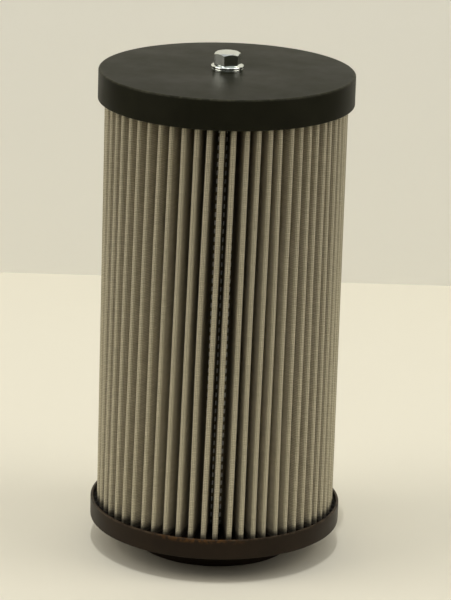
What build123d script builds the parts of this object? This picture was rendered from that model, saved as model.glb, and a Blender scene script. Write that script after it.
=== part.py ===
from build123d import *
from math import cos, pi, radians, sin
import os

os.makedirs("parts", exist_ok=True)

# Pleated hydraulic filter element, upright on its connection neck, in millimetres.
# The origin is the centre of the neck's open end; +Z runs along the axis to the bolt.

# End caps
CAP_OD = 136.0            # both caps
CAP_WALL = 1.5            # skirt and rim wall
CAP_DISC = 2.0            # flat of each cap
CAP_TO_CAP = 250.0        # over the two flats
TOP_SKIRT = 16.3          # height of the top cap
BOTTOM_RIM = 10.9         # height of the bottom cap
TOP_EDGE_R = 1.0          # rounded edge round the top face
LIP_R = 0.4               # softened edges of the skirt and the rim
CORNER_R = 0.8            # where each wall leaves its flat, inside

# Connection neck below the bottom cap
NECK_OD = 86.0
NECK_BORE = 74.0
NECK_LENGTH = 14.0
NECK_CHAMFER = 1.0
SEAL_SECTION = 4.0        # round section of the neck seal
GROOVE_DEPTH = 3.2
GROOVE_WIDTH = 4.6
GROOVE_HEIGHT = 6.5       # middle of the groove above the neck's open end

# Perforated core tube
CORE_OD = 84.0
CORE_WALL = 1.0
HOLE_D = 11.0             # across the corners of each eight-sided hole
HOLE_SIDES = 8
HOLE_COLUMNS = 10
HOLE_ROWS = 8             # every other row is turned by half a column
ROW_PITCH = 27.0

# Pleat pack: one wall of layered woven mesh in rounded folds
PLEATS = 61
PLEAT_OD = 129.2          # over the tips of the folds
PLEAT_WIDTH = 2.8         # across one fold, outside
MESH_WALL = 0.7
TIP_FLATS = 6             # flats that make up the rounding of a fold's tip
VALLEY_FLATS = 4          # and of the valley between two folds
PACK_TO_CORE = 0.3        # clearance between the folds and the core tube
FIRST_PLEAT = 3.05        # degrees from the front to the first fold
CROWDING = 5.73           # degrees by which the folds are pushed round towards one side

# Adhesive beds that hold the pack and the core
BED_UNDER_PACK = 1.5      # between the pack's end and the flat of the cap
BOTTOM_BED = 5.5          # above the flat of the bottom cap
TOP_BED = 10.0            # below the flat of the top cap
BED_INNER_D = 78.0

# M8 fastener in the middle of the top cap
BOLT_D = 8.0
BOLT_LENGTH = 22.0
BOLT_POINT = 1.0          # chamfer at the end of the shank
HEX_AF = 13.0             # across the flats of the head and of the nut
HEX_LAND_D = 12.0         # flat circle left by the chamfer on a hexagon's end
HEX_DROP = 1.0            # height that the chamfer takes off a hexagon's corners
HEX_TURN = 16.0           # degrees from +X to a corner of the head
HEAD_HEIGHT = 8.1         # with the flange
FLANGE_D = 17.4
FLANGE_RIM = 1.2
FLANGE_RISE = 0.8         # cone from the flange's rim to the hexagon
FLANGE_LIP_R = 0.3
WASHER_D = 17.0
WASHER_BORE = 8.4
WASHER_T = 1.6
WASHER_EDGE = 0.2         # broken outer edges of a washer
NUT_HEIGHT = 6.8

# Levels and radii that follow
BOTTOM_FLAT = NECK_LENGTH + CAP_DISC
TOP_FACE = NECK_LENGTH + CAP_TO_CAP
TOP_FLAT = TOP_FACE - CAP_DISC
PACK_FOOT = BOTTOM_FLAT + BED_UNDER_PACK
PACK_HEAD = TOP_FLAT - BED_UNDER_PACK
HEAD_SEAT = TOP_FACE + WASHER_T
NUT_SEAT = TOP_FLAT - WASHER_T
CAP_R = CAP_OD / 2
CAP_INNER_R = CAP_R - CAP_WALL
NECK_R = NECK_OD / 2
BORE_R = NECK_BORE / 2
CORE_R = CORE_OD / 2
PACK_INNER_R = CORE_R + PACK_TO_CORE
HEX_CORNER_R = HEX_AF / 2 / cos(pi / 6)


def polar(angle, radius, sideways=0.0):
    """Point on the plan: an angle from the front (-Y), a radius out and a step sideways."""
    east = sin(radians(angle))
    north = -cos(radians(angle))
    return (radius * east - sideways * north, radius * north + sideways * east)


def pleat_angle(number):
    """Angle of a fold from the front; the folds crowd together on one side."""
    even = FIRST_PLEAT + number * 360 / PLEATS
    return even + CROWDING * cos(radians(even))


def valley(gap):
    """Bend radius and centre radius of the valley between two folds a given angle apart."""
    leg = PLEAT_WIDTH / 2
    spread = 1 / sin(radians(gap / 2))
    bend = (PACK_INNER_R + MESH_WALL - leg * spread) / (spread - 1)
    return bend, (bend + leg) * spread


def bend_points(angle, centre, radius, half_sweep, flats):
    """Points of a bend about a centre on a spoke, swept evenly either side of the spoke."""
    points = []
    for number in range(flats + 1):
        sweep = radians(half_sweep * (2 * number / flats - 1))
        points.append(polar(angle, centre + radius * cos(sweep), abs(radius) * sin(sweep)))
    return points


def folds(inset):
    """Closed line of the folded wall, a distance in from its outer face."""
    half = PLEAT_WIDTH / 2 - inset
    tip = (PLEAT_OD - PLEAT_WIDTH) / 2
    points = []
    for number in range(PLEATS):
        here = pleat_angle(number)
        gap = pleat_angle(number + 1) - here
        bend, centre = valley(gap)
        points += bend_points(here, tip, half, 90, TIP_FLATS)
        points += bend_points(here + gap / 2, centre, -bend - inset, 90 - gap / 2, VALLEY_FLATS)
    with BuildLine() as outline:
        Polyline(*points, close=True)
    return outline


def hexagon(base, height, turn, chamfer_foot):
    """Hexagonal prism standing on a level, its corners turned away at the top or both ends."""
    land = HEX_LAND_D / 2
    foot = [(HEX_CORNER_R, base)]
    if chamfer_foot:
        foot = [(land, base), (HEX_CORNER_R, base + HEX_DROP)]
    top = base + height
    with BuildPart() as prism:
        with BuildSketch(Plane.XY.offset(base)):
            RegularPolygon(HEX_CORNER_R, 6, rotation=turn)
        extrude(amount=height)
        with BuildSketch(Plane.XZ):
            with BuildLine():
                Polyline(
                    (0, base), *foot, (HEX_CORNER_R, top - HEX_DROP), (land, top), (0, top),
                    close=True,
                )
            make_face()
        revolve(axis=Axis.Z, mode=Mode.INTERSECT)
    return prism.part


def washer(base):
    """Flat washer lying on a level, its outer edges broken."""
    with BuildPart() as ring:
        with BuildSketch(Plane.XY.offset(base)):
            Circle(WASHER_D / 2)
            Circle(WASHER_BORE / 2, mode=Mode.SUBTRACT)
        extrude(amount=WASHER_T)
        chamfer(edges_at_radius(ring, WASHER_D / 2), WASHER_EDGE)
    return ring


def edges_at_radius(piece, radius):
    """Circular edges of a turned piece that have a given radius."""
    circles = piece.edges().filter_by(GeomType.CIRCLE)
    return circles.filter_by(lambda edge: abs(edge.radius - radius) < 0.01)


def adhesive_bed(flat, surface, pack_end):
    """Adhesive from a cap's flat to its surface, with the pack's and the core's ends in it."""
    with BuildPart() as bed:
        with BuildSketch(Plane.XY.offset(flat)):
            Circle(CAP_INNER_R)
            Circle(BED_INNER_D / 2, mode=Mode.SUBTRACT)
        extrude(amount=surface - flat)
        with BuildSketch(Plane.XY.offset(pack_end)):
            make_face(outer_folds.edges())
            make_face(inner_folds.edges(), mode=Mode.SUBTRACT)
            Circle(CORE_R)
            Circle(CORE_R - CORE_WALL, mode=Mode.SUBTRACT)
        extrude(amount=surface - pack_end, mode=Mode.SUBTRACT)
    return bed


outer_folds = folds(0.0)
inner_folds = folds(MESH_WALL)

# Top end cap: a shallow cup turned upside down, drilled for the bolt.
with BuildPart() as top_end_cap:
    with BuildSketch(Plane.XY.offset(TOP_FACE - TOP_SKIRT)):
        Circle(CAP_R)
    extrude(amount=TOP_SKIRT)
    fillet(top_end_cap.edges().group_by(Axis.Z)[-1], TOP_EDGE_R)
    with BuildSketch(Plane.XY.offset(TOP_FACE - TOP_SKIRT)):
        Circle(CAP_INNER_R)
    extrude(amount=TOP_SKIRT - CAP_DISC, mode=Mode.SUBTRACT)
    fillet(top_end_cap.edges().group_by(Axis.Z)[0], LIP_R)
    with Locations((0, 0, TOP_FACE)):
        Hole(WASHER_BORE / 2)

# Bottom end cap: a shallow cup with the connection neck, all one piece.
with BuildPart() as bottom_end_cap:
    with BuildSketch():
        Circle(NECK_R)
    extrude(amount=NECK_LENGTH)
    with BuildSketch(Plane.XY.offset(NECK_LENGTH)):
        Circle(CAP_R)
    extrude(amount=BOTTOM_RIM)
    fillet(edges_at_radius(bottom_end_cap, CAP_R), LIP_R)
    with BuildSketch(Plane.XY.offset(BOTTOM_FLAT)):
        Circle(CAP_INNER_R)
    extrude(amount=BOTTOM_RIM - CAP_DISC, mode=Mode.SUBTRACT)
    Hole(BORE_R)
    chamfer(bottom_end_cap.edges().group_by(Axis.Z)[0], NECK_CHAMFER)
    with BuildSketch(Plane.XZ):
        with Locations((NECK_R - GROOVE_DEPTH, GROOVE_HEIGHT)):
            Rectangle(2 * GROOVE_DEPTH, GROOVE_WIDTH, align=(Align.MIN, Align.CENTER))
    revolve(axis=Axis.Z, mode=Mode.SUBTRACT)

# Neck seal, seated on the floor of its groove.
with BuildPart() as neck_seal:
    with BuildSketch(Plane.XZ):
        with Locations((NECK_R - GROOVE_DEPTH + SEAL_SECTION / 2, GROOVE_HEIGHT)):
            Circle(SEAL_SECTION / 2)
    revolve(axis=Axis.Z)

# Pleat pack: the folded wall runs from one adhesive bed to the other.
with BuildPart() as pleat_pack:
    with BuildSketch(Plane.XY.offset(PACK_FOOT)):
        make_face(outer_folds.edges())
        make_face(inner_folds.edges(), mode=Mode.SUBTRACT)
    extrude(amount=PACK_HEAD - PACK_FOOT)

# Core tube: carries the folds from inside, with staggered rows of holes.
with BuildPart() as core_tube:
    with BuildSketch(Plane.XY.offset(PACK_FOOT)):
        Circle(CORE_R)
        Circle(CORE_R - CORE_WALL, mode=Mode.SUBTRACT)
    extrude(amount=PACK_HEAD - PACK_FOOT)
    middle = (PACK_FOOT + PACK_HEAD) / 2
    column_step = 360 / HOLE_COLUMNS
    for row in range(HOLE_ROWS):
        level = middle + (row - (HOLE_ROWS - 1) / 2) * ROW_PITCH
        for column in range(HOLE_COLUMNS):
            turn = (column + row % 2 / 2) * column_step
            side = Plane.XY.offset(level).rotated((0, 0, turn))
            with BuildSketch(Plane(side.origin, x_dir=side.y_dir, z_dir=side.x_dir)):
                RegularPolygon(HOLE_D / 2, HOLE_SIDES)
            extrude(amount=CORE_OD, mode=Mode.SUBTRACT)

# Adhesive beds.
bottom_potting = adhesive_bed(BOTTOM_FLAT, BOTTOM_FLAT + BOTTOM_BED, PACK_FOOT)
top_potting = adhesive_bed(TOP_FLAT, TOP_FLAT - TOP_BED, PACK_HEAD)

# Fastener: flange bolt, a washer each side of the cap's flat, and the nut below.
flat_washer = washer(TOP_FACE)
inner_washer = washer(NUT_SEAT)
head_hexagon = hexagon(HEAD_SEAT + FLANGE_RIM, HEAD_HEIGHT - FLANGE_RIM, HEX_TURN, False)
nut_hexagon = hexagon(NUT_SEAT - NUT_HEIGHT, NUT_HEIGHT, 0, True)

with BuildPart() as flange_bolt:
    add(head_hexagon)
    with BuildSketch(Plane.XZ):
        with BuildLine():
            Polyline(
                (0, HEAD_SEAT),
                (FLANGE_D / 2, HEAD_SEAT),
                (FLANGE_D / 2, HEAD_SEAT + FLANGE_RIM),
                (HEX_AF / 2, HEAD_SEAT + FLANGE_RIM + FLANGE_RISE),
                (0, HEAD_SEAT + FLANGE_RIM + FLANGE_RISE),
                close=True,
            )
        make_face()
    revolve(axis=Axis.Z)
    fillet(edges_at_radius(flange_bolt, FLANGE_D / 2), FLANGE_LIP_R)
    with BuildSketch(Plane.XY.offset(HEAD_SEAT)):
        Circle(BOLT_D / 2)
    extrude(amount=-BOLT_LENGTH)
    chamfer(flange_bolt.edges().group_by(Axis.Z)[0], BOLT_POINT)

with BuildPart() as hex_nut:
    add(nut_hexagon)
    with Locations((0, 0, NUT_SEAT)):
        Hole(BOLT_D / 2)

pieces = {
    "top_end_cap": top_end_cap,
    "bottom_end_cap": bottom_end_cap,
    "neck_seal": neck_seal,
    "pleat_pack": pleat_pack,
    "core_tube": core_tube,
    "bottom_potting": bottom_potting,
    "top_potting": top_potting,
    "flange_bolt": flange_bolt,
    "flat_washer": flat_washer,
    "inner_washer": inner_washer,
    "hex_nut": hex_nut,
}
for name, piece in pieces.items():
    piece.part.label = name
    export_step(piece.part, f"parts/{name}.step")
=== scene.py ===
from math import cos, pi, radians, sin

import bmesh
import bpy
import numpy as np
from mathutils import Matrix, Vector


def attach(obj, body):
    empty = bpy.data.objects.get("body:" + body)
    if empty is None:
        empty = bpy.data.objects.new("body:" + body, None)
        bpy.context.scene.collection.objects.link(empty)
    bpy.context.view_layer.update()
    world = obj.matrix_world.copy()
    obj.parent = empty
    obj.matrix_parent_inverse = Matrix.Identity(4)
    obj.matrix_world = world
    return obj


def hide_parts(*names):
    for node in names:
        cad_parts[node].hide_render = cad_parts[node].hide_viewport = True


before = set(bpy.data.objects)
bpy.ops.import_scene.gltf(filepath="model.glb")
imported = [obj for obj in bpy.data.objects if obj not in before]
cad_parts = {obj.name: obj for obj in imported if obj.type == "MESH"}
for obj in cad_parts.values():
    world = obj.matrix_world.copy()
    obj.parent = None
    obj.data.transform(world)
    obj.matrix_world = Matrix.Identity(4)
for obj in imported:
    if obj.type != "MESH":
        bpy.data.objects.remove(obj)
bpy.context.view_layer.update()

MM = 0.001

# ---------------------------------------------------------------- sizes, in mm

CAP_R = 68.0
CAP_WALL = 1.5
CAP_DISC = 2.0
TOP_FACE = 264.0
TOP_SKIRT = 16.3
BOTTOM_RIM = 10.9
NECK_LENGTH = 14.0
NECK_R = 43.0
BORE_R = 37.0
GROOVE_FLOOR_R = 39.8
GROOVE_LOW = 4.2
GROOVE_HIGH = 8.8
SEAL_R = 2.0

CORE_R = 42.0
CORE_WALL = 1.0
CORE_COLUMNS = 58
CORE_ROWS = 52
CORE_HOLE_R = 1.5
CORE_PITCH = 4.5

BED_INNER_R = 39.0
BOTTOM_BED = 5.5
TOP_BED = 10.0
BED_UNDER_PACK = 1.5
FOLD_CLIMB = 1.5          # how far the adhesive climbs up a fold
FOLD_CLIMB_WIDTH = 0.9    # and how far from the fold that fades
WALL_CLIMB = 0.7          # the same at the cap's wall
WALL_CLIMB_WIDTH = 0.7

PLEATS = 61
PLEAT_R = 64.6
PLEAT_HALF = 1.4          # half the width of one fold
MESH_WALL = 0.7
PACK_TO_CORE = 0.3
TIP_SCATTER = 0.18        # how much some folds' tips fall short
FIRST_PLEAT = 3.05        # degrees from the front to the first fold
CROWDING = 5.73           # degrees by which the folds are pushed round to one side
SHIFT_SCATTER = 0.16      # degrees by which single folds stand out of line
BOW_SCATTER = 0.14        # degrees by which they bow on their way up
BOW_WAVES = 0.8           # waves of that bow over LEAN_HEIGHT
LEAN_MEAN = 1.88          # degrees that the folds turn over LEAN_HEIGHT, all round
LEAN_SWING = 2.906        # and how much that differs from side to side
LEAN_PHASE = 104.4
LEAN_MIDDLE = 143.0
LEAN_HEIGHT = 191.0

BOLT_R = 4.0
BOLT_LENGTH = 22.0
SHANK_IN_HEAD = 0.5
THREAD_PITCH = 1.25
THREAD_DEPTH = 0.7
THREAD_PLAY = 0.02
THREAD_FADE = 1.2         # height over which the thread runs out at each end
POINT_CHAMFER = 0.9
HEX_FLAT = 6.5            # half the width across the flats
HEX_CORNER_R = HEX_FLAT / cos(pi / 6)
HEX_CORNER_CUT = 0.12
HEX_LAND_R = 6.0          # radius of the flat end inside the chamfer
HEX_DROP = 1.0            # how far the chamfer falls to a sharp corner
HEX_BLEND = 0.25          # height of the first row below the chamfer
HEX_TURN = 16.0
DIMPLE_DEPTH = 0.05       # the bolt head's end is sunk a little
HEAD_HEIGHT = 8.1
FLANGE_R = 8.7
FLANGE_RIM = 1.2
FLANGE_RISE = 0.8
WASHER_R = 8.5
WASHER_BORE_R = 4.2
WASHER_T = 1.6
NUT_HEIGHT = 6.8

BOTTOM_FLAT = NECK_LENGTH + CAP_DISC
RIM_TOP = NECK_LENGTH + BOTTOM_RIM
TOP_FLAT = TOP_FACE - CAP_DISC
SKIRT_FOOT = TOP_FACE - TOP_SKIRT
CAP_INNER_R = CAP_R - CAP_WALL
PACK_FOOT = BOTTOM_FLAT + BED_UNDER_PACK
PACK_HEAD = TOP_FLAT - BED_UNDER_PACK
CORE_LOW = (PACK_FOOT + PACK_HEAD - CORE_ROWS * CORE_PITCH) / 2
CORE_HIGH = CORE_LOW + CORE_ROWS * CORE_PITCH
HEAD_SEAT = TOP_FACE + WASHER_T
NUT_SEAT = TOP_FLAT - WASHER_T

# ---------------------------------------------------------------- camera

CAMERA_PLACE = Vector((0.0, -1.6634, 0.6465))
CAMERA_DOWN = 0.2971      # radians below level
CAMERA_ROLL = 0.0307
CAMERA_TURN = 0.00165
CAMERA_LENS = 193.75      # mm, for a 36 mm sensor along the taller side


def place_camera():
    """Camera looking level-forward, then tipped down, turned and rolled by the three angles."""
    ahead = Vector((
        sin(CAMERA_TURN) * cos(CAMERA_DOWN), cos(CAMERA_TURN) * cos(CAMERA_DOWN), -sin(CAMERA_DOWN)
    ))
    level = Vector((cos(CAMERA_TURN), -sin(CAMERA_TURN), 0.0))
    upright = level.cross(ahead)
    right = cos(CAMERA_ROLL) * level + sin(CAMERA_ROLL) * upright
    up = -sin(CAMERA_ROLL) * level + cos(CAMERA_ROLL) * upright
    data = bpy.data.cameras.new("camera")
    data.lens = CAMERA_LENS
    data.sensor_width = 36.0
    data.clip_start = 0.05
    data.clip_end = 20.0
    camera = bpy.data.objects.new("camera", data)
    turn = Matrix((right, up, -ahead)).transposed().to_4x4()
    camera.matrix_world = Matrix.Translation(CAMERA_PLACE) @ turn
    bpy.context.collection.objects.link(camera)
    bpy.context.scene.camera = camera


place_camera()

# ---------------------------------------------------------------- materials


def srgb(code):
    """Linear colour of an sRGB hex value."""
    levels = [int(code[i:i + 2], 16) / 255 for i in (1, 3, 5)]
    linear = [v / 12.92 if v <= 0.04045 else ((v + 0.055) / 1.055) ** 2.4 for v in levels]
    return (*linear, 1.0)


def add(tree, kind, inputs=(), out=0, **settings):
    """Adds one node and returns one of its outputs.

    Inputs are values or outputs of other nodes, in the order of the node's sockets, or in a
    dict by socket.
    """
    made = tree.nodes.new("ShaderNode" + kind)
    for key, value in settings.items():
        setattr(made, key, value)
    for key, value in inputs.items() if isinstance(inputs, dict) else enumerate(inputs):
        if isinstance(value, bpy.types.NodeSocket):
            tree.links.new(value, made.inputs[key])
        else:
            made.inputs[key].default_value = value
    return made.outputs[out]


def new_material(name, **shader_values):
    """A material with a bare Principled shader; returns it with its tree and shader."""
    made = bpy.data.materials.new(name)
    made.use_nodes = True
    tree = made.node_tree
    shader = tree.nodes["Principled BSDF"]
    for key, value in shader_values.items():
        shader.inputs[key.replace("_", " ")].default_value = value
    return made, tree, shader


# Sizes of the patterns, in mm
PAINT_CLOUD = 18.0        # a cloud, grain, scuff or fleck is about this far across
PAINT_GRAIN = 0.9
PAINT_GRAIN_DEPTH = 0.02
EDGE_IN = CAP_R - 1.9     # radius at which a cap's paler edge, wear and painted highlight, begins
EDGE_OUT = CAP_R - 0.9    # and from which it is full
SCUFF = 3.0
STAIN_LOW = RIM_TOP - 2.6  # height at which the brown stain begins
STAIN_HIGH = RIM_TOP - 0.9  # and from which it is full
STAIN_FLECK = 2.2
WIRE_PITCH = 0.95         # coarser than the real weave, so that it shows
WIRE_DEPTH = 0.12
CLOTH_CLOUD = 9.0
VALLEY_SHADE_IN = 50.0           # radius up to which a fold's flank is at its darkest, in painted shade
FLANK_LIGHT_OUT = 60.5          # and from which it is at its palest, in painted light
TIP_IN = 62.9             # radius at which the colour of a fold's tip begins
TIP_OUT = 63.9            # and from which it is full
BAND_HEIGHT = 1.1
BAND_STRETCH = 0.15       # height over length of a band
VALLEY_IN = 43.05         # radius within which the painted dashes of light show in full
VALLEY_OUT = 43.16        # and from which they don't show
CREEP_CLOUD = 3.0
CREEP_RISE = 3.0          # unevenness of the adhesive's creep up the folds
CREEP_FULL = RIM_TOP + 1.0  # height up to which the folds' feet are at their darkest
CREEP_END = RIM_TOP + 3.8  # and from which they aren't darkened
SHEET_CLOUD = 6.0
ZINC_CLOUD = 2.0
ZINC_GRAIN = 0.5
ZINC_GRAIN_DEPTH = 0.01
ADHESIVE_CLOUD = 4.0
ADHESIVE_DEPTH = 0.2
RUBBER_CLOUD = 1.5

# Angles round the axis, from the front
STAIN_MIDDLE = radians(-6.0)
STAIN_HALF = radians(10.0)  # the stain is full this far to either side of its middle
STAIN_END = radians(26.0)  # and gone this far from it


def enamel(name, gloss, colour, worn, rubbed_and_highlit, edge_low, edge_high, stain=None):
    """Black stoving enamel on pressed steel: satin and faintly mottled, with a fine grain.

    Between two heights its outer edge is paler in patches: rubbed paint and painted highlight.
    Stain is the colour of a patchy brown residue on the front of that edge.
    """
    made, tree, shader = new_material(name, Specular_IOR_Level=gloss)
    where = add(tree, "TexCoord", out="Object")
    x, y, z = add(tree, "SeparateXYZ", (where,)).node.outputs
    cloud = add(tree, "TexNoise", {
        "Vector": where, "Scale": 1 / (PAINT_CLOUD * MM), "Detail": 4.0, "Roughness": 0.6})
    mottle = add(tree, "MapRange", (cloud, 0.3, 0.7, 0.0, 0.35))
    shown = add(tree, "Mix", {0: mottle, 6: srgb(colour), 7: srgb(worn)}, out=2, data_type="RGBA")

    # The outer edge is paler in patches: rubbed paint, and a painted highlight along it.
    level = add(tree, "CombineXYZ", (x, y))
    radius = add(tree, "VectorMath", (level,), out="Value", operation="LENGTH")
    high = add(tree, "MapRange", (z, edge_low * MM, edge_high * MM))
    outer = add(tree, "MapRange", (radius, EDGE_IN * MM, EDGE_OUT * MM))
    edge = add(tree, "Math", (high, outer), operation="MULTIPLY")
    scuffs = add(tree, "TexNoise", {
        "Vector": where, "Scale": 1 / (SCUFF * MM), "Detail": 5.0, "Roughness": 0.7})
    patchy = add(tree, "MapRange", (scuffs, 0.42, 0.62, 0.0, 0.6))
    edge_wear_and_highlight = add(tree, "Math", (edge, patchy), operation="MULTIPLY")
    shown = add(tree, "Mix", {0: edge_wear_and_highlight, 6: shown, 7: srgb(rubbed_and_highlit)}, out=2, data_type="RGBA")

    if stain:
        ahead = add(tree, "Math", (y, -1.0), operation="MULTIPLY")
        angle = add(tree, "Math", (x, ahead), operation="ARCTAN2")
        off = add(tree, "Math", (angle, STAIN_MIDDLE), operation="SUBTRACT")
        spread = add(tree, "Math", (off,), operation="ABSOLUTE")
        near = add(tree, "MapRange", (spread, STAIN_HALF, STAIN_END, 1.0, 0.0))
        top = add(tree, "MapRange", (z, STAIN_LOW * MM, STAIN_HIGH * MM))
        flecks = add(tree, "TexNoise", {
            "Vector": where, "Scale": 1 / (STAIN_FLECK * MM), "Detail": 4.0, "Roughness": 0.7})
        patches = add(tree, "MapRange", (flecks, 0.44, 0.60, 0.0, 0.75))
        front = add(tree, "Math", (near, top), operation="MULTIPLY")
        smear = add(tree, "Math", (front, patches), operation="MULTIPLY")
        shown = add(tree, "Mix", {0: smear, 6: shown, 7: srgb(stain)}, out=2, data_type="RGBA")

    tree.links.new(shown, shader.inputs["Base Color"])
    satin = add(tree, "MapRange", (cloud, 0.3, 0.7, 0.38, 0.48))
    tree.links.new(satin, shader.inputs["Roughness"])
    grain = add(tree, "TexNoise", {"Vector": where, "Scale": 1 / (PAINT_GRAIN * MM)})
    bump = add(tree, "Bump", {
        "Height": grain, "Distance": PAINT_GRAIN_DEPTH * MM, "Strength": 0.6})
    tree.links.new(bump, shader.inputs["Normal"])
    return made


def woven_steel():
    """Plain-woven stainless wire cloth over a pale medium, folded: matt grey-beige, banded.

    Bare wire covers about half of the cloth, so the material is half metallic. The folds' outer
    flanks are painted light, their deeper flanks painted shade, and their feet are darker.
    """
    made, tree, shader = new_material("woven_stainless_mesh", Metallic=0.5, Roughness=0.55)
    spread = add(tree, "UVMap", uv_map="wires")
    where = add(tree, "TexCoord", out="Object")
    along, up, _ = add(tree, "SeparateXYZ", (spread,)).node.outputs
    x, y, z = add(tree, "SeparateXYZ", (where,)).node.outputs

    # Each wire is a bulge, |cosine| of the distance across it, and every wire rises by a
    # quarter where it passes over the other and falls by as much where it passes under.
    half_wave = pi / (WIRE_PITCH * MM)
    warp_turn = add(tree, "Math", (along, half_wave), operation="MULTIPLY")
    weft_turn = add(tree, "Math", (up, half_wave), operation="MULTIPLY")
    warp = add(tree, "Math", (warp_turn,), operation="COSINE")
    weft = add(tree, "Math", (weft_turn,), operation="COSINE")
    over = add(tree, "Math", (warp, weft), operation="MULTIPLY")
    warp_rise = add(tree, "Math", (over, 0.25, 0.75), operation="MULTIPLY_ADD")
    weft_rise = add(tree, "Math", (over, -0.25, 0.75), operation="MULTIPLY_ADD")
    warp_bulge = add(tree, "Math", (warp,), operation="ABSOLUTE")
    weft_bulge = add(tree, "Math", (weft,), operation="ABSOLUTE")
    warp_wire = add(tree, "Math", (warp_bulge, warp_rise), operation="MULTIPLY")
    weft_wire = add(tree, "Math", (weft_bulge, weft_rise), operation="MULTIPLY")
    height = add(tree, "Math", (warp_wire, weft_wire), operation="MAXIMUM")

    level = add(tree, "CombineXYZ", (x, y))
    radius = add(tree, "VectorMath", (level,), out="Value", operation="LENGTH")
    # Painted light and shade: flanks paler than the tips near the outside, darker towards the
    # valleys.
    cloud = add(tree, "TexNoise", {
        "Vector": where, "Scale": 1 / (CLOTH_CLOUD * MM), "Detail": 3.0})
    patch = add(tree, "MapRange", (cloud, 0.3, 0.7))
    flank_light_and_shade = add(tree, "Mix", {0: patch, 6: srgb("#F0E8D6"), 7: srgb("#E2DBC8")},
                out=2, data_type="RGBA")
    shade_to_light = add(tree, "MapRange", (radius, VALLEY_SHADE_IN * MM, FLANK_LIGHT_OUT * MM))
    flank_light_and_shade = add(tree, "Mix", {0: shade_to_light, 6: srgb("#6C5B48"), 7: flank_light_and_shade}, out=2, data_type="RGBA")
    at_tip = add(tree, "MapRange", (radius, TIP_IN * MM, TIP_OUT * MM))
    wire = add(tree, "Mix", {0: at_tip, 6: flank_light_and_shade, 7: srgb("#D8D1B9")}, out=2, data_type="RGBA")
    on_wire = add(tree, "MapRange", (height, 0.45, 0.85))
    cloth = add(tree, "Mix", {0: on_wire, 6: srgb("#97907B"), 7: wire}, out=2, data_type="RGBA")

    # Wefts that lie closer together or further apart band the cloth across its length.
    stretched = add(tree, "VectorMath", (spread, (BAND_STRETCH, 1.0, 1.0)), operation="MULTIPLY")
    wefts = add(tree, "TexNoise", {"Vector": stretched, "Scale": 1 / (BAND_HEIGHT * MM)})
    bands = add(tree, "MapRange", (wefts, 0.35, 0.65, 0.0, 0.32))
    cloth = add(tree, "Mix", {0: bands, 6: cloth, 7: srgb("#8C8570")}, out=2, data_type="RGBA")

    # Painted light: a row of pale dashes down the bottom of each valley, at the core's pitch,
    # stands in for the perforated core showing through the cloth.
    deep = add(tree, "MapRange", (radius, VALLEY_OUT * MM, VALLEY_IN * MM))
    count = add(tree, "Math", (z, 1 / (CORE_PITCH * MM)), operation="MULTIPLY")
    step = add(tree, "Math", (count,), operation="FRACT")
    dash = add(tree, "MapRange", (step, 0.40, 0.48, 0.0, 0.95))
    painted_dash_light = add(tree, "Math", (deep, dash), operation="MULTIPLY")
    cloth = add(tree, "Mix", {0: painted_dash_light, 6: cloth, 7: srgb("#F2F0EC")}, out=2, data_type="RGBA")

    # The adhesive has crept into the feet of the folds and darkened them.
    uneven = add(tree, "TexNoise", {
        "Vector": where, "Scale": 1 / (CREEP_CLOUD * MM), "Detail": 3.0})
    creep = add(tree, "Math", (uneven, CREEP_RISE * MM, z), operation="MULTIPLY_ADD")
    foot = add(tree, "MapRange", (creep, CREEP_FULL * MM, CREEP_END * MM, 0.75, 0.0))
    cloth = add(tree, "Mix", {0: foot, 6: cloth, 7: srgb("#1A120C")}, out=2, data_type="RGBA")
    tree.links.new(cloth, shader.inputs["Base Color"])
    bump = add(tree, "Bump", {"Height": height, "Distance": WIRE_DEPTH * MM, "Strength": 0.8})
    tree.links.new(bump, shader.inputs["Normal"])
    return made


def perforated_steel():
    """Galvanised punched sheet: cool grey, semi-matt, with a soft bloom."""
    made, tree, shader = new_material("galvanised_punched_sheet", Metallic=1.0)
    where = add(tree, "TexCoord", out="Object")
    cloud = add(tree, "TexNoise", {
        "Vector": where, "Scale": 1 / (SHEET_CLOUD * MM), "Detail": 3.0})
    bloom = add(tree, "Mix", {0: cloud, 6: srgb("#8F8D85"), 7: srgb("#B0AEA4")},
                out=2, data_type="RGBA")
    tree.links.new(bloom, shader.inputs["Base Color"])
    matt = add(tree, "MapRange", (cloud, 0.3, 0.7, 0.34, 0.5))
    tree.links.new(matt, shader.inputs["Roughness"])
    return made


def bright_zinc():
    """Bright blue-passivated zinc plate: mirror-like with a cool tint and faint clouding."""
    made, tree, shader = new_material("bright_zinc_plate", Metallic=1.0)
    where = add(tree, "TexCoord", out="Object")
    cloud = add(tree, "TexNoise", {
        "Vector": where, "Scale": 1 / (ZINC_CLOUD * MM), "Detail": 3.0})
    tint = add(tree, "Mix", {0: cloud, 6: srgb("#DDE5E0"), 7: srgb("#F0F4EF")},
               out=2, data_type="RGBA")
    tree.links.new(tint, shader.inputs["Base Color"])
    haze = add(tree, "MapRange", (cloud, 0.3, 0.7, 0.07, 0.16))
    tree.links.new(haze, shader.inputs["Roughness"])
    grain = add(tree, "TexNoise", {"Vector": where, "Scale": 1 / (ZINC_GRAIN * MM)})
    bump = add(tree, "Bump", {
        "Height": grain, "Distance": ZINC_GRAIN_DEPTH * MM, "Strength": 0.5})
    tree.links.new(bump, shader.inputs["Normal"])
    return made


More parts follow.
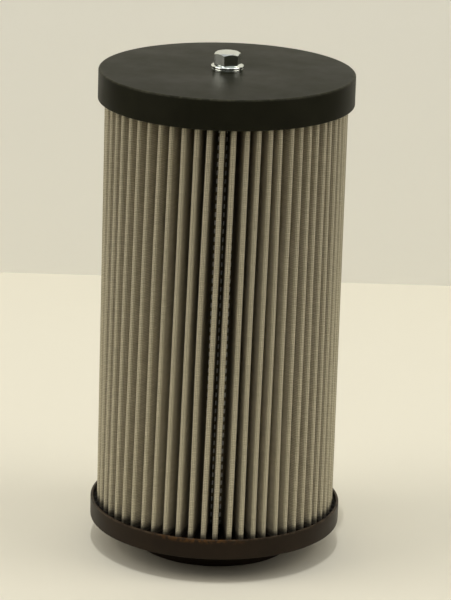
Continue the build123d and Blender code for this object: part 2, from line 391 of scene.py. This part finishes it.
def cast_adhesive():
    """Black two-part polyurethane, poured and cured: dull, with a slightly uneven skin."""
    made, tree, shader = new_material("cast_polyurethane", IOR=1.5, Specular_IOR_Level=0.08)
    where = add(tree, "TexCoord", out="Object")
    cloud = add(tree, "TexNoise", {
        "Vector": where, "Scale": 1 / (ADHESIVE_CLOUD * MM), "Detail": 3.0})
    tint = add(tree, "Mix", {0: cloud, 6: srgb("#0A0705"), 7: srgb("#17110C")},
               out=2, data_type="RGBA")
    tree.links.new(tint, shader.inputs["Base Color"])
    skin = add(tree, "MapRange", (cloud, 0.3, 0.7, 0.4, 0.6))
    tree.links.new(skin, shader.inputs["Roughness"])
    bump = add(tree, "Bump", {"Height": cloud, "Distance": ADHESIVE_DEPTH * MM, "Strength": 0.5})
    tree.links.new(bump, shader.inputs["Normal"])
    return made


def seal_rubber():
    """Moulded nitrile rubber: near black, soft sheen, a trace of talc."""
    made, tree, shader = new_material("moulded_nitrile_rubber", Roughness=0.55, IOR=1.5)
    where = add(tree, "TexCoord", out="Object")
    cloud = add(tree, "TexNoise", {
        "Vector": where, "Scale": 1 / (RUBBER_CLOUD * MM), "Detail": 4.0, "Roughness": 0.6})
    talc = add(tree, "MapRange", (cloud, 0.4, 0.8))
    tint = add(tree, "Mix", {0: talc, 6: srgb("#0D0D0D"), 7: srgb("#242322")},
               out=2, data_type="RGBA")
    tree.links.new(tint, shader.inputs["Base Color"])
    return made


TOP_ENAMEL = enamel("stoved_enamel_top", 0.065, "#1B1B13", "#2B2B1F", "#4A4838",
                    TOP_FACE - 1.2, TOP_FACE)
BOTTOM_ENAMEL = enamel("stoved_enamel_bottom", 0.1, "#211911", "#372C20", "#544839",
                       RIM_TOP - 0.9, RIM_TOP - 0.2, stain="#5C3E1E")
WOVEN_STEEL = woven_steel()
PERFORATED_STEEL = perforated_steel()
BRIGHT_ZINC = bright_zinc()
CAST_ADHESIVE = cast_adhesive()
SEAL_RUBBER = seal_rubber()

# ---------------------------------------------------------------- mesh making


def piece(name, sheets, material, node, crease=40.0):
    """Joins grids of points (rows x columns x 3, in mm) into one closed piece.

    Each sheet is a grid whose neighbouring points make quads; equal points of all sheets are
    merged, which closes seams and poles, and faces are turned outwards. A sheet may come with
    a grid of UVs, in metres. Crease is the angle in degrees above which an edge stays sharp.
    """
    points, faces, uvs, start = [], [], [], 0
    for sheet in sheets:
        grid, uv = sheet if isinstance(sheet, tuple) else (sheet, None)
        rows, columns = grid.shape[:2]
        index = start + np.arange(rows * columns).reshape(rows, columns)
        corners = (index[:-1, :-1], index[:-1, 1:], index[1:, 1:], index[1:, :-1])
        points.append(grid.reshape(-1, 3) * MM)
        faces.append(np.stack(corners, axis=-1).reshape(-1, 4))
        uvs.append(np.zeros((rows * columns, 2)) if uv is None else uv.reshape(-1, 2))
        start += rows * columns
    points, faces, uvs = np.concatenate(points), np.concatenate(faces), np.concatenate(uvs)
    mesh = bpy.data.meshes.new(name)
    mesh.vertices.add(len(points))
    mesh.vertices.foreach_set("co", points.ravel())
    mesh.loops.add(faces.size)
    mesh.loops.foreach_set("vertex_index", faces.ravel())
    mesh.polygons.add(len(faces))
    mesh.polygons.foreach_set("loop_start", np.arange(len(faces)) * 4)
    mesh.polygons.foreach_set("loop_total", np.full(len(faces), 4))
    mesh.update(calc_edges=True)
    layer = mesh.uv_layers.new(name="wires")
    layer.data.foreach_set("uv", uvs[faces.ravel()].ravel())
    shell = bmesh.new()
    shell.from_mesh(mesh)
    bmesh.ops.remove_doubles(shell, verts=shell.verts, dist=0.0002 * MM)
    bmesh.ops.dissolve_degenerate(shell, edges=shell.edges, dist=0.0001 * MM)
    bmesh.ops.recalc_face_normals(shell, faces=shell.faces)
    shell.to_mesh(mesh)
    shell.free()
    mesh.polygons.foreach_set("use_smooth", np.ones(len(mesh.polygons), dtype=bool))
    mesh.set_sharp_from_angle(angle=radians(crease))
    mesh.materials.append(material)
    made = bpy.data.objects.new(name, mesh)
    bpy.context.collection.objects.link(made)
    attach(made, "root")
    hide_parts(node)


def rounded(corners, steps=5):
    """Profile through corners (radius, height, rounding).

    A rounded corner is a quadratic curve about it, from one leg to the other, which leaves
    both at the distance that the rounding gives.
    """
    flat = np.array([(c[0], c[1]) for c in corners], dtype=float)
    before, after = np.roll(flat, 1, axis=0), np.roll(flat, -1, axis=0)
    out = []
    for here, back, on, corner in zip(flat, before, after, corners):
        if corner[2] == 0:
            out.append(here[None])
            continue
        start = here + (back - here) / np.linalg.norm(back - here) * corner[2]
        end = here + (on - here) / np.linalg.norm(on - here) * corner[2]
        t = np.linspace(0, 1, steps + 1)[:, None]
        out.append((1 - t) ** 2 * start + 2 * t * (1 - t) * here + t ** 2 * end)
    return np.concatenate(out)


def turned(profile, closed=True, segments=256):
    """Grid of a profile (radius, height) turned about the axis: (r sin a, -r cos a, z)."""
    line = np.vstack((profile, profile[:1])) if closed else profile
    angle = np.linspace(0, 2 * pi, segments + 1)
    angle[-1] = 0.0
    radius = line[:, :1]
    height = np.broadcast_to(line[:, 1:], (len(line), segments + 1))
    return np.stack((radius * np.sin(angle), -radius * np.cos(angle), height), axis=-1)


# ---------------------------------------------------------------- caps

piece("cap_top", [turned(rounded([
    (CAP_R, TOP_FACE, 1.3), (WASHER_BORE_R, TOP_FACE, 0.2), (WASHER_BORE_R, TOP_FLAT, 0.2),
    (CAP_INNER_R, TOP_FLAT, 0.8), (CAP_INNER_R, SKIRT_FOOT, 0.4), (CAP_R, SKIRT_FOOT, 0.5),
]))], TOP_ENAMEL, "top_end_cap")

piece("cap_bottom", [turned(rounded([
    (CAP_R, RIM_TOP, 0.4), (CAP_INNER_R, RIM_TOP, 0.4), (CAP_INNER_R, BOTTOM_FLAT, 0.8),
    (BORE_R, BOTTOM_FLAT, 0.3), (BORE_R, 0.0, 1.2), (NECK_R, 0.0, 1.2),
    (NECK_R, GROOVE_LOW, 0.2), (GROOVE_FLOOR_R, GROOVE_LOW, 0.3),
    (GROOVE_FLOOR_R, GROOVE_HIGH, 0.3), (NECK_R, GROOVE_HIGH, 0.2),
    (NECK_R, NECK_LENGTH, 0.8), (CAP_R, NECK_LENGTH, 0.7),
]))], BOTTOM_ENAMEL, "bottom_end_cap")

# A ring of round section that lies against the groove's floor, at the groove's middle
round_section = np.linspace(0, 2 * pi, 25)[:-1]
piece("neck_ring", [turned(np.stack((
    GROOVE_FLOOR_R + SEAL_R + SEAL_R * np.cos(round_section),
    (GROOVE_LOW + GROOVE_HIGH) / 2 + SEAL_R * np.sin(round_section),
), axis=-1))], SEAL_RUBBER, "neck_seal")

# ---------------------------------------------------------------- pleat pack


def fold_angles(height):
    """Angles of the folds in degrees; rows are heights, columns are folds.

    The steps are even but crowd to one side, and each fold leans and bows a little on its
    way up.
    """
    draw = np.random.default_rng(61)
    even = FIRST_PLEAT + np.arange(PLEATS) * 360 / PLEATS
    bow = draw.normal(0.0, BOW_SCATTER, PLEATS)
    bow_phase = draw.uniform(0, 2 * pi, PLEATS)
    shift = draw.normal(0.0, SHIFT_SCATTER, PLEATS)
    lean = LEAN_MEAN - LEAN_SWING * np.cos(np.radians(even - LEAN_PHASE))
    rise = (height[:, None] - LEAN_MIDDLE) / LEAN_HEIGHT
    return (even + CROWDING * np.cos(np.radians(even)) + shift + lean * rise
            + bow * np.sin(2 * pi * rise * BOW_WAVES + bow_phase))


def fold_wall(height, inset, tip_steps=10, valley_steps=7):
    """Grid of one face of the folded wall, a distance inside the outer face.

    At each height the line runs round each fold's tip, a half circle about a point on the
    fold's spoke, down its leg, parallel to the spoke, and round the valley, an arc tangent
    to the legs of both folds, to the next fold.
    """
    draw = np.random.default_rng(7)
    here = fold_angles(height)
    following = np.concatenate((here[:, 1:], here[:, :1] + 360), axis=1)
    gap = np.radians(following - here)
    tip = PLEAT_R - PLEAT_HALF - np.abs(draw.normal(0.0, TIP_SCATTER, PLEATS))
    half = PLEAT_HALF - inset
    spread = 1 / np.sin(gap / 2)
    bend = (CORE_R + PACK_TO_CORE + MESH_WALL - PLEAT_HALF * spread) / (spread - 1)
    centre = (bend + PLEAT_HALF) * spread
    sweep = np.radians(np.linspace(-90, 90, tip_steps + 1))
    turn = np.linspace(-1, 1, valley_steps + 1)
    rows = len(height)
    shape = (rows, PLEATS, tip_steps + 1)
    out_tip = np.broadcast_to(tip[None, :, None] + half * np.cos(sweep), shape)
    side_tip = np.broadcast_to(half * np.sin(sweep), shape)
    spoke_tip = np.broadcast_to(np.radians(here)[:, :, None], shape)
    swing = (pi / 2 - gap / 2)[:, :, None] * turn
    out_valley = centre[:, :, None] - (bend + inset)[:, :, None] * np.cos(swing)
    side_valley = (bend + inset)[:, :, None] * np.sin(swing)
    spoke_valley = np.broadcast_to((np.radians(here) + gap / 2)[:, :, None], swing.shape)
    out = np.concatenate((out_tip, out_valley), axis=2).reshape(rows, -1)
    side = np.concatenate((side_tip, side_valley), axis=2).reshape(rows, -1)
    spoke = np.concatenate((spoke_tip, spoke_valley), axis=2).reshape(rows, -1)
    grid = np.stack((
        out * np.sin(spoke) + side * np.cos(spoke),
        -out * np.cos(spoke) + side * np.sin(spoke),
        np.broadcast_to(height[:, None], out.shape),
    ), axis=-1)
    return np.concatenate((grid, grid[:, :1]), axis=1)


def wire_map(grid):
    """UVs in metres: distance along the folded line at mid height, and height."""
    steps = np.linalg.norm(np.diff(grid[len(grid) // 2], axis=0), axis=1)
    along = np.concatenate(([0.0], np.cumsum(steps))) * MM
    return np.stack((np.broadcast_to(along, grid.shape[:2]), grid[:, :, 2] * MM), axis=-1)


levels = np.linspace(PACK_FOOT, PACK_HEAD, 37)
outside = fold_wall(levels, 0.0)
inside = fold_wall(levels[::6], MESH_WALL)
end_strips = [np.stack((outside[end], inside[end])) for end in (0, -1)]
piece("pleats", [(outside, wire_map(outside)), (inside, wire_map(inside)), *end_strips],
      WOVEN_STEEL, "pleat_pack", crease=60.0)

# ---------------------------------------------------------------- core tube


def core_sheets():
    """Sheets of the punched tube.

    Each square cell is a band of quads from the cell's edge to an eight-sided hole, through
    the hole and back to the cell's edge on the inner face. The tube's ends are plain.
    """
    cell = 2 * pi / CORE_COLUMNS
    edge = np.array([
        (-1, -1), (0, -1), (1, -1), (1, 0), (1, 1), (0, 1), (-1, 1), (-1, 0), (-1, -1)
    ]) / 2
    turn = np.arctan2(edge[:, 1], edge[:, 0])
    hole = np.stack((np.cos(turn), np.sin(turn)), axis=-1) * CORE_HOLE_R / CORE_PITCH
    column, row = np.meshgrid(np.arange(CORE_COLUMNS), np.arange(CORE_ROWS), indexing="ij")
    column, row = column.reshape(-1, 1), row.reshape(-1, 1)

    def in_cells(line, radius):
        """A line (along, up) in parts of a cell, laid into every cell at a radius."""
        angle = (column + 0.5 + line[:, 0]) * cell
        height = CORE_LOW + (row + 0.5 + line[:, 1]) * CORE_PITCH
        return np.stack((radius * np.sin(angle), -radius * np.cos(angle), height), axis=-1)

    outer, inner = CORE_R, CORE_R - CORE_WALL
    sheets = list(np.stack((
        in_cells(edge, outer), in_cells(hole, outer), in_cells(hole, inner), in_cells(edge, inner)
    ), axis=1))
    for joint, end in ((CORE_LOW, PACK_FOOT), (CORE_HIGH, PACK_HEAD)):
        wall = np.array([(outer, joint), (outer, end), (inner, end), (inner, joint)])
        sheets.append(turned(wall, closed=False, segments=2 * CORE_COLUMNS))
    return sheets


piece("core", core_sheets(), PERFORATED_STEEL, "core_tube")

# ---------------------------------------------------------------- adhesive beds


def bed_surface(level, side):
    """Grid of the adhesive's free surface over the ring between the core and the cap's wall.

    It lies at a level and climbs up the folds and the wall, by exp(-distance / width).
    Side is +1 where the surface faces up and -1 where it faces down.
    """
    angle = np.linspace(0, 360, PLEATS * 14 + 1)
    radius = np.concatenate((
        np.linspace(BED_INNER_R, CORE_R + 1, 5), np.linspace(CORE_R + 1.5, CAP_INNER_R, 34)
    ))
    folds = fold_angles(np.array([level]))[0]
    off = (angle[:, None] - folds + 180) % 360 - 180
    nearest = np.take_along_axis(off, np.abs(off).argmin(axis=1)[:, None], axis=1)
    nearest = np.radians(nearest)
    across = np.abs(radius * np.sin(nearest))
    beyond = np.maximum(radius * np.cos(nearest) - (PLEAT_R - PLEAT_HALF), 0.0)
    to_fold = np.abs(np.hypot(across, beyond) - PLEAT_HALF)
    rise = (FOLD_CLIMB * np.exp(-to_fold / FOLD_CLIMB_WIDTH)
            + WALL_CLIMB * np.exp(-(CAP_INNER_R - radius) / WALL_CLIMB_WIDTH))
    height = level + side * rise
    turn = np.radians(angle)[:, None]
    turn[-1] = 0.0
    height[-1] = height[0]
    return np.stack((radius * np.sin(turn), -radius * np.cos(turn), height), axis=-1)


def bed(name, node, flat, level, side):
    """Closed bed: free surface, flat face against the cap, and the two walls between them."""
    surface = bed_surface(level, side)
    base = surface.copy()
    base[:, :, 2] = flat
    walls = [np.stack((surface[:, end], base[:, end])) for end in (0, -1)]
    piece(name, [surface, base, *walls], CAST_ADHESIVE, node)


bed("bed_bottom", "bottom_potting", BOTTOM_FLAT, BOTTOM_FLAT + BOTTOM_BED, 1)
bed("bed_top", "top_potting", TOP_FLAT, TOP_FLAT - TOP_BED, -1)

# ---------------------------------------------------------------- fastener


def hexagon(base, top, turn, first, last, chamfer_below):
    """Grid of a hexagonal prism between two heights, row by row round its axis.

    The radius of the section is half the width across the flats over the cosine of the angle
    from the middle of the nearest flat, less a cut at the corners. The chamfer is a cone: it
    falls in proportion to the radius beyond the land. First and last are the (radius, height)
    of round rows before the upper chamfer and after the lower end.
    """
    # Degrees from the middle of one flat to the next; the corner is at 30.
    steps = np.array([0, 0.8, 2, 5, 10, 18, 30, 42, 50, 55, 58, 59.2])
    around = np.append(np.add.outer(60 * np.arange(6), steps), 360.0)
    angle = np.radians(around + turn + 30)
    off = np.radians((around + 30) % 60 - 30)
    radius = np.minimum(HEX_FLAT / np.cos(off), HEX_CORNER_R - HEX_CORNER_CUT)
    beyond = radius - HEX_LAND_R
    drop = beyond * HEX_DROP / (HEX_CORNER_R - HEX_LAND_R)

    rows = list(first)
    rows += [(HEX_LAND_R + beyond * part, top - drop * part) for part in (0.1, 0.5, 0.92, 1.0)]
    rows.append((radius, top - drop - HEX_BLEND))
    if chamfer_below:
        rows.append((radius, base + drop + HEX_BLEND))
        rows += [(HEX_LAND_R + beyond * part, base + drop * part) for part in (1.0, 0.5, 0.0)]
    else:
        rows.append((radius, base))
    rows += last
    out, high = (np.array([row[i] + 0 * angle for row in rows]) for i in (0, 1))
    return np.stack((out * np.cos(angle), out * np.sin(angle), high), axis=-1)


def thread(top, bottom):
    """Grid of the bolt's threaded shank, with a chamfered point.

    The radius falls from the crest by the depth times a triangle wave of height over pitch
    less the turn, and the wave fades out at both ends.
    """
    angle = np.linspace(0, 2 * pi, 49)
    height = np.linspace(top, bottom, int((top - bottom) / THREAD_PITCH * 8) + 1)[:, None]
    phase = (height / THREAD_PITCH - angle / (2 * pi)) % 1.0
    wave = np.abs(2 * phase - 1)
    fade = np.clip(np.minimum(top - height, height - bottom) / THREAD_FADE, 0, 1)
    point = BOLT_R - np.clip(POINT_CHAMFER - (height - bottom), 0, POINT_CHAMFER)
    out = np.minimum(BOLT_R - THREAD_PLAY - THREAD_DEPTH * wave * fade, point)
    return np.stack((
        out * np.cos(angle), out * np.sin(angle), np.broadcast_to(height, out.shape)
    ), axis=-1)


rim_top = HEAD_SEAT + FLANGE_RIM
head_top = HEAD_SEAT + HEAD_HEIGHT
dimple = head_top - DIMPLE_DEPTH
flange = rounded([
    (0.0, HEAD_SEAT, 0), (FLANGE_R, HEAD_SEAT, 0.35), (FLANGE_R, rim_top, 0.45),
    (HEX_FLAT, rim_top + FLANGE_RISE, 0.2), (0.0, rim_top + FLANGE_RISE, 0),
])
head_end = [(0.0, dimple), (0.4 * HEX_LAND_R, dimple), (0.78 * HEX_LAND_R, dimple),
            (0.86 * HEX_LAND_R, head_top), (HEX_LAND_R, head_top)]
shank = thread(HEAD_SEAT + SHANK_IN_HEAD, HEAD_SEAT - BOLT_LENGTH)
shank_ends = [np.stack((shank[end], shank[end] * (0, 0, 1))) for end in (0, -1)]
piece("bolt", [
    turned(flange, closed=False, segments=96),
    hexagon(rim_top, head_top, HEX_TURN, head_end, [(0.0, rim_top)], False),
    shank, *shank_ends,
], BRIGHT_ZINC, "flange_bolt", crease=32.0)

# The nut's rows start and end at the top of its bore, which closes it.
nut_foot = NUT_SEAT - NUT_HEIGHT
piece("nut", [hexagon(
    nut_foot, NUT_SEAT, 0.0, [(BOLT_R, NUT_SEAT), (HEX_LAND_R, NUT_SEAT)],
    [(BOLT_R, nut_foot), (BOLT_R, NUT_SEAT)], True,
)], BRIGHT_ZINC, "hex_nut", crease=32.0)

for name, node, base in (
    ("washer_top", "flat_washer", TOP_FACE), ("washer_under", "inner_washer", NUT_SEAT)
):
    piece(name, [turned(rounded([
        (WASHER_R, base + WASHER_T, 0.35), (WASHER_BORE_R, base + WASHER_T, 0.15),
        (WASHER_BORE_R, base, 0.1), (WASHER_R, base, 0.15),
    ]), segments=96)], BRIGHT_ZINC, node)

# ---------------------------------------------------------------- floor, backdrop, light

# Metres
FLOOR_SIDE = 0.6          # from the axis to each side of the floor, and to its front
WALL_Y = 0.498
WALL_SIDE = 0.9
WALL_TOP = 1.5


def card(name, corners, material_name, colour):
    """Flat four-cornered sheet of matt studio card."""
    material, _, _ = new_material(material_name, Base_Color=srgb(colour), Roughness=0.9)
    mesh = bpy.data.meshes.new(name)
    mesh.from_pydata([Vector(c) for c in corners], [], [(0, 1, 2, 3)])
    mesh.materials.append(material)
    made = bpy.data.objects.new(name, mesh)
    bpy.context.collection.objects.link(made)


card("floor", [
    (-FLOOR_SIDE, -FLOOR_SIDE, 0), (FLOOR_SIDE, -FLOOR_SIDE, 0),
    (FLOOR_SIDE, WALL_Y, 0), (-FLOOR_SIDE, WALL_Y, 0),
], "floor_card", "#D6D2C2")
card("backdrop", [
    (-WALL_SIDE, WALL_Y, 0), (WALL_SIDE, WALL_Y, 0),
    (WALL_SIDE, WALL_Y, WALL_TOP), (-WALL_SIDE, WALL_Y, WALL_TOP),
], "backdrop_card", "#E4E3DA")

# name, place, what it faces, width, height, power in watts, colour
SOFTBOXES = [
    ("overhead", (0.0, -0.4, 1.6), (0, -0.4, 0.0), 3.0, 2.6, 12.0, "#FFFFFF"),
    ("front_high", (0.0, -1.9, 1.2), (0, 0, 0.13), 0.9, 0.9, 0.8, "#FFFFFF"),
    ("side_right", (1.3, -0.35, 0.9), (0, 0, 0.12), 1.1, 1.1, 9.6, "#FFF8EC"),
    ("side_left", (-1.3, -0.35, 0.9), (0, 0, 0.12), 1.1, 1.1, 11.6, "#FFF8EC"),
    ("wall_wash", (0.15, -0.05, 0.95), (0.15, WALL_Y, 0.25), 1.8, 0.3, 3.2, "#FFFFFF"),
]
# A small, distant ceiling lamp, which casts the sharp shadow on the floor
SPOT_STRENGTH = 0.76
SPOT_WIDTH = radians(0.8)
SPOT_WAY = Vector((0.018, 0.16, -1.0))
ROOM_COLOUR = "#E6E0D0"
ROOM_STRENGTH = 0.04


def lamp(name, kind, way, place=(0, 0, 0), **settings):
    """Lamp of a kind that shines one way, with its settings."""
    data = bpy.data.lights.new(name, kind)
    for key, value in settings.items():
        setattr(data, key, value)
    made = bpy.data.objects.new(name, data)
    made.location = place
    made.rotation_euler = way.to_track_quat("-Z", "Y").to_euler()
    bpy.context.collection.objects.link(made)


for name, place, target, width, height, power, colour in SOFTBOXES:
    lamp(name, "AREA", Vector(target) - Vector(place), place, shape="RECTANGLE",
         size=width, size_y=height, energy=power, color=srgb(colour)[:3])
lamp("ceiling_spot", "SUN", SPOT_WAY, energy=SPOT_STRENGTH, angle=SPOT_WIDTH)

world = bpy.data.worlds.new("studio")
bpy.context.scene.world = world
world.use_nodes = True
room = world.node_tree.nodes["Background"]
room.inputs["Color"].default_value = srgb(ROOM_COLOUR)
room.inputs["Strength"].default_value = ROOM_STRENGTH
bpy.context.scene.view_settings.view_transform = "Standard"
